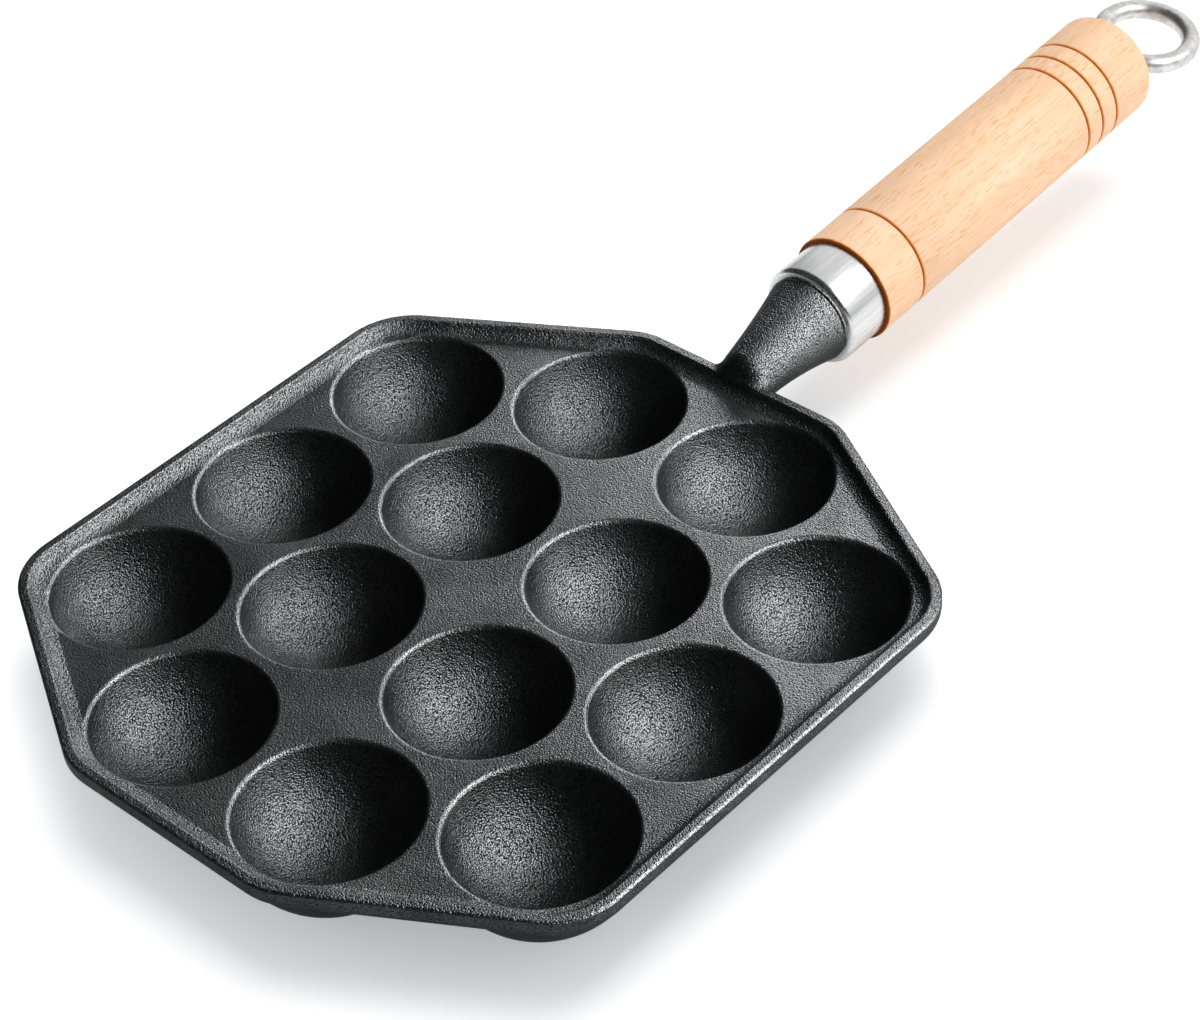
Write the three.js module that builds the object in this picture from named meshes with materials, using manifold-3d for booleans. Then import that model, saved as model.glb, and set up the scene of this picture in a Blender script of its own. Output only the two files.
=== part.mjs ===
import * as THREE from 'three';
import { mergeVertices } from 'three/addons/utils/BufferGeometryUtils.js';
import Module from 'manifold-3d';

// A takoyaki pan: an iron casting with round cups, and a turned wooden grip that a long rod
// clamps to the casting's neck. Millimetres, +Z up, +Y along the handle, standing on its cups.

// Cups: two middle columns, and two outer columns set half a pitch along and one cup shorter
const cupRimRadius = 20;
const cupDepth = 18;
const cupRimRounding = 0.8;
const cupPitch = 44;
const middleColumnCups = 4;
const outerColumnCups = 3;
const cupWall = 2.9;
const footFlat = 0.3;

// Plate and lip: the plate's top is the plane z = 0 while the pan is being built
const plateThickness = 3;
const plateCornerRadius = 3;
const rimLand = 5.6;
const outlineCornerRadius = 17.5;
const lipHeight = 2.6;
const lipTopWidth = 2.5;
const lipSlopeRun = 3.6;
const lipRounding = 0.8;
const lipFootRadius = 3;

// Handle axis: it leaves the end of the plate and climbs slightly
const handleAxisHeight = 2.7;
const handleAngle = THREE.MathUtils.degToRad(3.93);

// Neck, a cast cone with a tapped socket; lengths run along the handle axis from the end wall.
// It flares towards its end, and its root hangs below the axis.
const neckRootRadius = 6.9;
const neckRootDrop = 1.9;
const neckRootReach = 1.4;
const neckRootRounding = 3;
const neckFlareRadius = 8;
const neckEndRadius = 11.45;
const neckLength = 24.5;
const neckEndRounding = 0.5;
const socketDepth = 14;

// Rod, ring and washer
const rodRadius = 3;
const rodTipClearance = 0.6;
const wireRadius = 2.45;
const ringRadius = 11.6;
const ringTilt = THREE.MathUtils.degToRad(-4.3);
const ringYaw = THREE.MathUtils.degToRad(5.3);
const ringRoll = THREE.MathUtils.degToRad(7.7);
const washerRadius = 6;
const washerThickness = 1;

// Ferrule
const ferruleRadius = 13.1;
const ferruleLength = 12.6;
const ferruleWall = 0.8;
const ferruleFrontRounding = 1.6;
const ferruleMouthRadius = 8;

// Grip
const gripRadius = 14.14;
const gripLength = 109.9;
const gripFrontRounding = 0.4;
const gripEndRounding = 1.5;
const spigotChamfer = 0.6;
const boreClearance = 0.5;
const grooveWidth = 1;
const grooveDepth = 0.4;
const frontGrooveDistance = 13.7;
const endGrooveDistance = 16.2;
const endGroovePitch = 6;
const endGrooveCount = 3;

// Fits
const clearance = 0.3;
const overrun = 5;

// Fineness of round surfaces
const cupSides = 20;
const cupRings = 5;
const domeRings = 4;
const outlineCornerSteps = 5;
const roundingSteps = 2;
const neckSteps = 6;
const turnedSides = 32;
const wireSides = 12;

const wasm = await Module();
wasm.setup();

function asSolid(geometry) {
  const bare = geometry.clone();
  bare.deleteAttribute('normal');
  bare.deleteAttribute('uv');
  const merged = mergeVertices(bare);
  return new wasm.Manifold(new wasm.Mesh({
    numProp: 3,
    vertProperties: new Float32Array(merged.attributes.position.array),
    triVerts: new Uint32Array(merged.index.array),
  }));
}

function asGeometry(solid) {
  const mesh = solid.getMesh();
  const geometry = new THREE.BufferGeometry();
  geometry.setAttribute('position', new THREE.BufferAttribute(mesh.vertProperties, 3));
  geometry.setIndex(new THREE.BufferAttribute(mesh.triVerts, 1));
  geometry.computeVertexNormals();
  return geometry;
}

// A profile through the given corners, each [x, y, rounding]; a corner without rounding is sharp
function roundedProfile(corners) {
  const points = [];
  corners.forEach(([x, y, rounding = 0], index) => {
    const corner = new THREE.Vector2(x, y);
    if (rounding === 0) {
      points.push(corner);
      return;
    }
    const [beforeX, beforeY] = corners[index - 1];
    const [afterX, afterY] = corners[index + 1];
    const back = new THREE.Vector2(beforeX, beforeY).sub(corner).normalize();
    const ahead = new THREE.Vector2(afterX, afterY).sub(corner).normalize();
    const halfAngle = Math.acos(back.dot(ahead)) / 2;
    const centre = back.clone().add(ahead).normalize();
    centre.multiplyScalar(rounding / Math.sin(halfAngle)).add(corner);
    const tangentLength = rounding / Math.tan(halfAngle);
    const start = back.multiplyScalar(tangentLength).add(corner).sub(centre);
    const end = ahead.multiplyScalar(tangentLength).add(corner).sub(centre);
    const turn = Math.atan2(start.x * end.y - start.y * end.x, start.dot(end));
    for (let step = 0; step <= roundingSteps; step++) {
      const spoke = start.clone().rotateAround(new THREE.Vector2(), turn * step / roundingSteps);
      points.push(spoke.add(centre));
    }
  });
  return points;
}

// Points of a circular arc from one angle to another, ends included
function arcPoints(centreY, radius, fromAngle, toAngle, steps) {
  return Array.from({ length: steps + 1 }, (_, step) => {
    const angle = fromAngle + (toAngle - fromAngle) * step / steps;
    return new THREE.Vector2(radius * Math.cos(angle), centreY + radius * Math.sin(angle));
  });
}

// Places of the cups, column by column
const outerColumnX = cupPitch / 2 + cupPitch * Math.sin(Math.PI / 3);

function columnOfCups(x, count) {
  return Array.from({ length: count }, (_, row) => {
    return new THREE.Vector2(x, (row - (count - 1) / 2) * cupPitch);
  });
}

const cupCentres = [
  ...columnOfCups(-outerColumnX, outerColumnCups),
  ...columnOfCups(-cupPitch / 2, middleColumnCups),
  ...columnOfCups(cupPitch / 2, middleColumnCups),
  ...columnOfCups(outerColumnX, outerColumnCups),
];

// Outline: every straight side keeps the same land outside the cups nearest to it
const diagonalAngle = Math.PI / 3;
const sideNormals = [
  0, diagonalAngle, Math.PI / 2, Math.PI - diagonalAngle,
  Math.PI, Math.PI + diagonalAngle, 3 * Math.PI / 2, 2 * Math.PI - diagonalAngle,
];

function sideOffset(angle) {
  const normal = new THREE.Vector2(Math.cos(angle), Math.sin(angle));
  return Math.max(...cupCentres.map((centre) => centre.dot(normal))) + cupRimRadius + rimLand;
}

const plateHalfLength = sideOffset(Math.PI / 2);

// Each outline point is [corner centre, outward spoke]; an inset shortens all spokes alike
const outlineSpokes = sideNormals.flatMap((angle, side) => {
  const nextSide = (side + 1) % sideNormals.length;
  const nextAngle = sideNormals[nextSide] + (nextSide === 0 ? 2 * Math.PI : 0);
  const offset = sideOffset(angle) - outlineCornerRadius;
  const nextOffset = sideOffset(nextAngle) - outlineCornerRadius;
  const spread = Math.sin(nextAngle - angle);
  const centre = new THREE.Vector2(
    (offset * Math.sin(nextAngle) - nextOffset * Math.sin(angle)) / spread,
    (nextOffset * Math.cos(angle) - offset * Math.cos(nextAngle)) / spread,
  );
  return Array.from({ length: outlineCornerSteps + 1 }, (_, step) => {
    const turn = angle + (nextAngle - angle) * step / outlineCornerSteps;
    return [centre, new THREE.Vector2(Math.cos(turn), Math.sin(turn))];
  });
});

// The plate with its lip: one section, from the underside round the lip to the plate's top
function plateGeometry() {
  const lipFootInset = lipTopWidth + lipSlopeRun;
  const section = roundedProfile([
    [lipFootInset, -plateThickness],
    [0, -plateThickness, plateCornerRadius],
    [0, lipHeight, lipRounding],
    [lipTopWidth, lipHeight, lipRounding],
    [lipFootInset, 0, lipFootRadius],
    [lipFootInset + lipFootRadius, 0],
  ]);
  const positions = [0, 0, -plateThickness, 0, 0, 0];
  section.forEach((point) => outlineSpokes.forEach(([centre, spoke]) => {
    const reach = outlineCornerRadius - point.x;
    positions.push(centre.x + spoke.x * reach, centre.y + spoke.y * reach, point.y);
  }));
  const count = outlineSpokes.length;
  const vertex = (ring, spoke) => 2 + ring * count + spoke % count;
  const lastRing = section.length - 1;
  const triangles = [];
  for (let spoke = 0; spoke < count; spoke++) {
    triangles.push(0, vertex(0, spoke + 1), vertex(0, spoke));
    triangles.push(1, vertex(lastRing, spoke), vertex(lastRing, spoke + 1));
    for (let ring = 0; ring < lastRing; ring++) {
      triangles.push(vertex(ring, spoke), vertex(ring, spoke + 1), vertex(ring + 1, spoke + 1));
      triangles.push(vertex(ring, spoke), vertex(ring + 1, spoke + 1), vertex(ring + 1, spoke));
    }
  }
  const geometry = new THREE.BufferGeometry();
  geometry.setAttribute('position', new THREE.Float32BufferAttribute(positions, 3));
  geometry.setIndex(triangles);
  return geometry;
}

// The cup is part of a sphere that meets the plate's top in a circle of the rim's radius
const cupSphereRadius = (cupRimRadius ** 2 + cupDepth ** 2) / (2 * cupDepth);
const cupSphereHeight = cupSphereRadius - cupDepth;
const domeSphereRadius = cupSphereRadius + cupWall;
const footLevel = cupSphereHeight - domeSphereRadius + footFlat;

// Lathed shapes turn about +Y; the cups' axes are upright
function uprightLathe(profile, sides) {
  return new THREE.LatheGeometry(profile, sides).rotateX(Math.PI / 2);
}

function cupCutterGeometry() {
  const roundingCentreX = Math.sqrt(
    (cupSphereRadius + cupRimRounding) ** 2 - (cupRimRounding + cupSphereHeight) ** 2,
  );
  const touchAngle = Math.atan2(-cupRimRounding - cupSphereHeight, roundingCentreX);
  const bowl = arcPoints(cupSphereHeight, cupSphereRadius, -Math.PI / 2, touchAngle, cupRings);
  bowl[0].x = 0;
  const rounding = arcPoints(
    -cupRimRounding, cupRimRounding, Math.PI + touchAngle, Math.PI / 2, roundingSteps,
  );
  rounding.shift();
  rounding.forEach((point) => {
    point.x += roundingCentreX;
  });
  return uprightLathe([
    ...bowl,
    ...rounding,
    new THREE.Vector2(roundingCentreX, overrun),
    new THREE.Vector2(0, overrun),
  ], cupSides);
}

function domeGeometry() {
  const rootLevel = -plateThickness / 2;
  const footAngle = Math.asin((footLevel - cupSphereHeight) / domeSphereRadius);
  const rootAngle = Math.asin((rootLevel - cupSphereHeight) / domeSphereRadius);
  return uprightLathe([
    new THREE.Vector2(0, footLevel),
    ...arcPoints(cupSphereHeight, domeSphereRadius, footAngle, rootAngle, domeRings),
    new THREE.Vector2(0, rootLevel),
  ], cupSides);
}

// Everything on the handle is turned about this frame's +Y
const handleFrame = new THREE.Matrix4().compose(
  new THREE.Vector3(0, plateHalfLength, handleAxisHeight),
  new THREE.Quaternion().setFromAxisAngle(new THREE.Vector3(1, 0, 0), handleAngle),
  new THREE.Vector3(1, 1, 1),
);

// The neck is turned and then bent: each section drops below the axis, most at the root
function neckGeometry() {
  const flare = new THREE.QuadraticBezierCurve(
    new THREE.Vector2(neckRootRadius, 0),
    new THREE.Vector2(neckFlareRadius, neckLength / 2),
    new THREE.Vector2(neckEndRadius, neckLength),
  );
  const flarePoints = flare.getPoints(neckSteps).slice(1, -1).map((point) => point.toArray());
  const neck = new THREE.LatheGeometry(roundedProfile([
    [0, -neckRootReach],
    [neckRootRadius, -neckRootReach, neckRootRounding],
    ...flarePoints,
    [neckEndRadius, neckLength, neckEndRounding],
    [0, neckLength],
  ]), turnedSides);
  const vertices = neck.attributes.position;
  for (let index = 0; index < vertices.count; index++) {
    const shareFromEnd = 1 - vertices.getY(index) / neckLength;
    vertices.setZ(index, vertices.getZ(index) - neckRootDrop * shareFromEnd ** 2);
  }
  return neck.applyMatrix4(handleFrame);
}

function socketGeometry() {
  const radius = rodRadius + clearance;
  return new THREE.LatheGeometry([
    new THREE.Vector2(0, neckLength - socketDepth),
    new THREE.Vector2(radius, neckLength - socketDepth),
    new THREE.Vector2(radius, neckLength + overrun),
    new THREE.Vector2(0, neckLength + overrun),
  ], turnedSides).applyMatrix4(handleFrame);
}

function castingGeometry() {
  let casting = asSolid(plateGeometry()).add(asSolid(neckGeometry()));
  const dome = asSolid(domeGeometry());
  const cutter = asSolid(cupCutterGeometry());
  cupCentres.forEach((centre) => {
    casting = casting.add(dome.translate(centre.x, centre.y, 0));
  });
  cupCentres.forEach((centre) => {
    casting = casting.subtract(cutter.translate(centre.x, centre.y, 0));
  });
  return asGeometry(casting.subtract(asSolid(socketGeometry())));
}

// Stations along the handle, each piece seated on the one before it
const ferruleFront = neckLength + clearance;
const ferruleBack = ferruleFront + ferruleLength;
const spigotFront = ferruleFront + ferruleWall + clearance;
const gripShoulder = ferruleBack + clearance;
const gripEnd = gripShoulder + gripLength;
const washerFront = gripEnd + clearance;
const washerBack = washerFront + washerThickness;
const ringNearPoint = washerBack + clearance + wireRadius;
const rodTip = neckLength - socketDepth + rodTipClearance;

function ferruleGeometry() {
  const innerRadius = ferruleRadius - ferruleWall;
  const innerRounding = ferruleFrontRounding - ferruleWall;
  const profile = roundedProfile([
    [ferruleMouthRadius, ferruleFront],
    [ferruleRadius, ferruleFront, ferruleFrontRounding],
    [ferruleRadius, ferruleBack],
    [innerRadius, ferruleBack],
    [innerRadius, ferruleFront + ferruleWall, innerRounding],
    [ferruleMouthRadius, ferruleFront + ferruleWall],
    [ferruleMouthRadius, ferruleFront],
  ]);
  return new THREE.LatheGeometry(profile, turnedSides);
}

function groove(station) {
  return [
    [gripRadius, station - grooveWidth / 2],
    [gripRadius - grooveDepth, station],
    [gripRadius, station + grooveWidth / 2],
  ];
}

function gripGeometry() {
  const boreRadius = rodRadius + boreClearance;
  const spigotRadius = ferruleRadius - ferruleWall - clearance;
  const endGrooves = Array.from({ length: endGrooveCount }, (_, index) => {
    const fromEnd = endGrooveDistance + (endGrooveCount - 1 - index) * endGroovePitch;
    return groove(gripEnd - fromEnd);
  });
  return new THREE.LatheGeometry(roundedProfile([
    [boreRadius, spigotFront],
    [spigotRadius - spigotChamfer, spigotFront],
    [spigotRadius, spigotFront + spigotChamfer],
    [spigotRadius, gripShoulder],
    [gripRadius, gripShoulder, gripFrontRounding],
    ...groove(gripShoulder + frontGrooveDistance),
    ...endGrooves.flat(),
    [gripRadius, gripEnd, gripEndRounding],
    [boreRadius, gripEnd],
    [boreRadius, spigotFront],
  ]), turnedSides);
}

function rodGeometry() {
  return new THREE.LatheGeometry([
    new THREE.Vector2(0, rodTip),
    new THREE.Vector2(rodRadius, rodTip),
    new THREE.Vector2(rodRadius, washerBack),
    new THREE.Vector2(0, washerBack),
  ], turnedSides);
}

function washerGeometry() {
  const holeRadius = rodRadius + clearance;
  return new THREE.LatheGeometry([
    new THREE.Vector2(holeRadius, washerFront),
    new THREE.Vector2(washerRadius, washerFront),
    new THREE.Vector2(washerRadius, washerBack),
    new THREE.Vector2(holeRadius, washerBack),
    new THREE.Vector2(holeRadius, washerFront),
  ], turnedSides);
}

// Materials
const castIron = new THREE.MeshStandardMaterial({ color: 0x2f3133, roughness: 0.62, metalness: 0.35 });
const polishedSteel = new THREE.MeshStandardMaterial({ color: 0xc9c9c7, roughness: 0.2, metalness: 1 });
const zincedSteel = new THREE.MeshStandardMaterial({ color: 0xb9b8b4, roughness: 0.35, metalness: 1 });
const beech = new THREE.MeshStandardMaterial({ color: 0xeab887, roughness: 0.55, metalness: 0 });

function piece(name, geometry, material) {
  const mesh = new THREE.Mesh(geometry, material);
  mesh.name = name;
  return mesh;
}

const product = new THREE.Group();
product.add(piece('pan_casting', castingGeometry(), castIron));

const handle = new THREE.Group();
handle.applyMatrix4(handleFrame);
handle.add(piece('ferrule', ferruleGeometry(), polishedSteel));
handle.add(piece('wooden_grip', gripGeometry(), beech));
handle.add(piece('tie_rod', rodGeometry(), zincedSteel));
handle.add(piece('end_washer', washerGeometry(), zincedSteel));
product.add(handle);

// The ring starts at its weld on the rod's end and leans a little off the handle axis
const ringWeld = new THREE.Group();
ringWeld.position.set(0, ringNearPoint, 0);
ringWeld.rotation.set(ringTilt, ringRoll, -ringYaw, 'ZXY');
const ring = piece(
  'hanging_ring',
  new THREE.TorusGeometry(ringRadius, wireRadius, wireSides, turnedSides),
  zincedSteel,
);
ring.position.set(0, ringRadius, 0);
ringWeld.add(ring);
handle.add(ringWeld);

// The part's origin is the middle of its footprint, on the surface that the pan stands on
product.updateMatrixWorld(true);
const bounds = new THREE.Box3().setFromObject(product, true);
const middle = bounds.getCenter(new THREE.Vector3());
product.position.set(-middle.x, -middle.y, -bounds.min.z);
product.updateMatrixWorld(true);

export default product;
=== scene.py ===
import math

import bpy
import bmesh
from mathutils import Matrix, Vector


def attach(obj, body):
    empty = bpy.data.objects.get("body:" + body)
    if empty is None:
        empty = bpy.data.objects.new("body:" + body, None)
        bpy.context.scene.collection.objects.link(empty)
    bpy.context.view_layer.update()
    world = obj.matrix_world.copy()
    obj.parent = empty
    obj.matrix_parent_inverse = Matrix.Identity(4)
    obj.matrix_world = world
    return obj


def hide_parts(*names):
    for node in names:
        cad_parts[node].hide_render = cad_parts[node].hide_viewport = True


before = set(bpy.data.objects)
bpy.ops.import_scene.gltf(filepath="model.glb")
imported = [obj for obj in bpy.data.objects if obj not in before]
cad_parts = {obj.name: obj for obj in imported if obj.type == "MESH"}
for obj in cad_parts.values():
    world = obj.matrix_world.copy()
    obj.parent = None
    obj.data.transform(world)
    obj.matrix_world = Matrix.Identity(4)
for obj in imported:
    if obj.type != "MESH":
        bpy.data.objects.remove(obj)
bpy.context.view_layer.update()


# Camera. It stands at the front right of the pan and looks down along it, a little rolled, with a
# long lens that keeps the rows of cups almost parallel.

camera_data = bpy.data.cameras.new("camera")
camera_data.lens = 92.4
camera_data.sensor_width = 36.0
camera_data.clip_start = 0.05
camera_data.clip_end = 20.0
camera = bpy.data.objects.new("camera", camera_data)
bpy.context.scene.collection.objects.link(camera)
bpy.context.scene.camera = camera

camera_azimuth = math.radians(44.81)
camera_height_angle = math.radians(40.23)
camera_roll = math.radians(-4.80)
camera_place = (0.3736, -0.42348, 0.4648)
towards_camera = Vector((
    math.sin(camera_azimuth) * math.cos(camera_height_angle),
    -math.cos(camera_azimuth) * math.cos(camera_height_angle),
    math.sin(camera_height_angle),
))
level_right = Vector((0.0, 0.0, 1.0)).cross(towards_camera).normalized()
level_up = towards_camera.cross(level_right)
rolled_right = math.cos(camera_roll) * level_right + math.sin(camera_roll) * level_up
rolled_up = math.cos(camera_roll) * level_up - math.sin(camera_roll) * level_right
camera_turn = Matrix((rolled_right, rolled_up, towards_camera)).transposed().to_4x4()
camera.matrix_world = Matrix.Translation(camera_place) @ camera_turn


# Pan casting. The plate, its lip, the fourteen cups with their domes below and the neck are one
# sand casting in grey iron. Every face runs into the next by a fillet, as a pattern must leave the
# sand, and the neck's end is faced and tapped for the tie rod.

class Field:
    """A value inside a node tree, written in formulas like a number."""

    def __init__(self, tree, socket):
        self.tree = tree
        self.socket = socket

    def made_by(self, operation, *operands):
        """The result of a math node, whose operands are values of the tree or plain numbers."""
        node = self.tree.nodes.new("ShaderNodeMath")
        node.operation = operation
        for socket, operand in zip(node.inputs, operands):
            if isinstance(operand, Field):
                self.tree.links.new(operand.socket, socket)
            else:
                socket.default_value = operand
        return Field(self.tree, node.outputs[0])

    def __add__(self, other):
        return self.made_by("ADD", self, other)

    def __radd__(self, other):
        return self.made_by("ADD", other, self)

    def __sub__(self, other):
        return self.made_by("SUBTRACT", self, other)

    def __rsub__(self, other):
        return self.made_by("SUBTRACT", other, self)

    def __mul__(self, other):
        return self.made_by("MULTIPLY", self, other)

    def __rmul__(self, other):
        return self.made_by("MULTIPLY", other, self)

    def __truediv__(self, other):
        return self.made_by("DIVIDE", self, other)

    def __rtruediv__(self, other):
        return self.made_by("DIVIDE", other, self)

    def __gt__(self, other):
        return self.made_by("GREATER_THAN", self, other)


def smaller(first, second):
    return first.made_by("MINIMUM", first, second)


def larger(first, second):
    return first.made_by("MAXIMUM", first, second)


def root(value):
    return value.made_by("SQRT", value)


def chosen(condition, when_true, when_false):
    """One value where the condition is one, and the other where it is nought."""
    return when_false + condition * (when_true - when_false)


def joined(first, second, fillet):
    """Two solids run together, with a fillet in the corner between them."""
    first_reach = larger(fillet - first, 0.0)
    second_reach = larger(fillet - second, 0.0)
    corner = root(first_reach * first_reach + second_reach * second_reach)
    return larger(smaller(first, second), fillet) - corner


def common(first, second, rounding):
    """What two solids share, with the edge between them rounded."""
    first_reach = larger(first + rounding, 0.0)
    second_reach = larger(second + rounding, 0.0)
    corner = root(first_reach * first_reach + second_reach * second_reach)
    return smaller(larger(first, second), -1.0 * rounding) + corner


def edge_between(first, second, rounding):
    """One along the middle of the rounded edge of what two solids share, and nothing off it."""
    first_reach = larger(first + rounding, 0.0) / rounding
    second_reach = larger(second + rounding, 0.0) / rounding
    # This is 1 on the skin and more outside it
    off_skin = first_reach * first_reach + second_reach * second_reach
    skin_ends = 1.4
    return 2.0 * first_reach * second_reach * (skin_ends - off_skin > 0.0)


# Sizes of the casting in millimetres: each is an input of its node tree
casting_sizes = {
    "cup pitch": 44.0,
    "cup rim radius": 20.0,
    "cup depth": 18.0,
    "cup wall": 2.9,
    "rim rounding": 0.8,
    "rim land": 5.6,
    "outline corner radius": 17.5,
    "plate thickness": 3.0,
    "lower edge radius": 3.0,
    "lip height": 2.6,
    "lip top width": 2.5,
    "lip slope run": 0.7,
    "lip top lean": 0.05,
    "lip rounding": 0.5,
    "lip foot fillet": 2.9,
    "dome fillet": 2.4,
    "neck length": 24.5,
    "neck root radius": 6.9,
    "neck root drop": 1.9,
    "neck flare radius": 8.0,
    "neck end radius": 11.45,
    "neck end rounding": 0.6,
    "neck root fillet": 2.4,
    "socket radius": 3.3,
    "socket depth": 14.0,
}
plate_centre = (0.0, -88.417, 20.6)
handle_angle = math.radians(3.93)
handle_height = 2.7


def add_sizes(tree, sizes):
    """Gives a node tree one input for each size."""
    for name, size in sizes.items():
        socket = tree.interface.new_socket(name, in_out="INPUT", socket_type="NodeSocketFloat")
        socket.default_value = size


def vector_math(tree, operation, first, second):
    """A vector node on the socket of one vector and on a fixed second one, or its socket."""
    node = tree.nodes.new("ShaderNodeVectorMath")
    node.operation = operation
    tree.links.new(first, node.inputs[0])
    if isinstance(second, tuple):
        node.inputs[1].default_value = second
    else:
        tree.links.new(second, node.inputs[1])
    return node


def axes_of(tree, vector):
    """The three parts of a vector, as values for formulas."""
    parts = tree.nodes.new("ShaderNodeSeparateXYZ")
    tree.links.new(vector, parts.inputs[0])
    return [Field(tree, parts.outputs[axis]) for axis in "XYZ"]


# The cups stand in two middle columns of four and two outer columns of three, set half a pitch
# along. Their places are counted in pitches from the plate's centre
outer_column = 0.5 + math.sin(math.pi / 3)
cup_places = [(column * 0.5, row + 0.5) for column in (-1, 1) for row in (-2, -1, 0, 1)]
cup_places += [(column * outer_column, row) for column in (-1, 1) for row in (-1, 0, 1)]


def cups_and_domes(size, x, y, z):
    """Distances to the balls that the cups are part of, and to the domes, run softly together."""
    rim_radius = size["cup rim radius"]
    depth = size["cup depth"]
    cup_radius = (rim_radius * rim_radius + depth * depth) / (2.0 * depth)
    cup_height = z - (cup_radius - depth)
    height_squared = cup_height * cup_height
    dome_radius = cup_radius + size["cup wall"]
    dome_softness = 0.7
    nearest = None
    weight = None
    for across, along in cup_places:
        off_x = x - size["cup pitch"] * across
        off_y = y - size["cup pitch"] * along
        reach = root(off_x * off_x + off_y * off_y + height_squared)
        pull = (dome_radius - reach) / dome_softness
        pull = pull.made_by("EXPONENT", pull)
        nearest = reach if nearest is None else smaller(nearest, reach)
        weight = pull if weight is None else weight + pull
    domes = -dome_softness * weight.made_by("LOGARITHM", weight, math.e)
    return nearest - cup_radius, domes


def plate_outline(size, x, y):
    """Distance to the plate's outline: eight sides, each the same land outside its nearest cups,
    with round corners between them."""
    side_x = x.made_by("ABSOLUTE", x)
    side_y = y.made_by("ABSOLUTE", y)
    pitch = size["cup pitch"]
    corner_radius = size["outline corner radius"]
    side_reach = size["cup rim radius"] + size["rim land"] - corner_radius
    diagonal_x = math.cos(math.pi / 3)
    diagonal_y = math.sin(math.pi / 3)
    long_side = pitch * outer_column + side_reach
    diagonal_side = pitch * (0.5 * diagonal_x + 1.5 * diagonal_y) + side_reach
    end_side = pitch * 1.5 + side_reach
    first_corner_y = (diagonal_side - long_side * diagonal_x) / diagonal_y
    second_corner_x = (diagonal_side - end_side * diagonal_y) / diagonal_x
    off_diagonal = side_x * diagonal_x + side_y * diagonal_y - diagonal_side
    straight = larger(larger(side_x - long_side, side_y - end_side), off_diagonal)
    first_x = side_x - long_side
    first_y = side_y - first_corner_y
    second_x = side_x - second_corner_x
    second_y = side_y - end_side
    at_first = (first_y > 0.0) * (first_x * diagonal_y - first_y * diagonal_x > 0.0)
    at_second = (second_x > 0.0) * (second_y * diagonal_x - second_x * diagonal_y > 0.0)
    outline = chosen(at_first, root(first_x * first_x + first_y * first_y), straight)
    outline = chosen(at_second, root(second_x * second_x + second_y * second_y), outline)
    return outline - corner_radius


def neck_and_socket(size, x, y, z):
    """Distances to the neck and to the tapped socket in its end, and where the end's edge is.
    The neck is round about the handle's axis, flared to the end and bent down at the root."""
    neck_length = size["neck length"]
    plate_end = size["cup pitch"] * 1.5 + size["cup rim radius"] + size["rim land"]
    off_y = y - plate_end
    off_z = z - handle_height
    along = off_y * math.cos(handle_angle) + off_z * math.sin(handle_angle)
    above = off_z * math.cos(handle_angle) - off_y * math.sin(handle_angle)
    share = along / neck_length
    rest = 1.0 - share
    drop = above + size["neck root drop"] * rest * rest
    flare = size["neck root radius"] * rest * rest + size["neck end radius"] * share * share
    flare = flare + size["neck flare radius"] * 2.0 * share * rest
    neck_steepness = 0.97
    neck = (root(x * x + drop * drop) - flare) * neck_steepness
    neck_edge = edge_between(neck, along - neck_length, size["neck end rounding"])
    neck = common(neck, along - neck_length, size["neck end rounding"])
    neck_inside_plate = 1.4
    neck_tail_rounding = 3.0
    neck = common(neck, -1.0 * along - neck_inside_plate, neck_tail_rounding)

    socket = root(x * x + above * above) - size["socket radius"]
    socket = larger(socket, neck_length - size["socket depth"] - along)
    return neck, socket, neck_edge


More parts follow.
